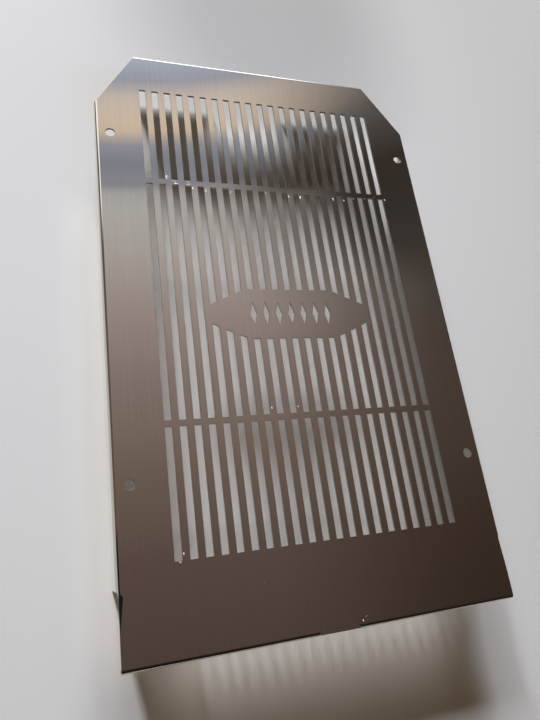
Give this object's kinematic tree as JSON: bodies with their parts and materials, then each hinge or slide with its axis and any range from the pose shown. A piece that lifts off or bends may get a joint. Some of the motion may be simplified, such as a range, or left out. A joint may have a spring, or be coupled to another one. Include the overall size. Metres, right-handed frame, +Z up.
{
  "type": "motorcycle radiator guard",
  "caption": "Folded stainless steel radiator guard: flat face with rows of long slots, cut upper corners, side flanges and corner fastening holes.",
  "frame": {"origin": "on the ground under the middle of the guard's box, with the guard lying on the edges of its side flanges", "axes": "+X across the guard, +Y along it towards the end with the cut corners, +Z up out of the slotted face"},
  "size_m": [0.2076, 0.3434, 0.033],
  "materials": {
    "polished_stainless": "bright polished sheet with a faint lengthwise grain"
  },
  "bodies": {
    "root": {"guard": "polished_stainless"}
  },
  "joints": []
}
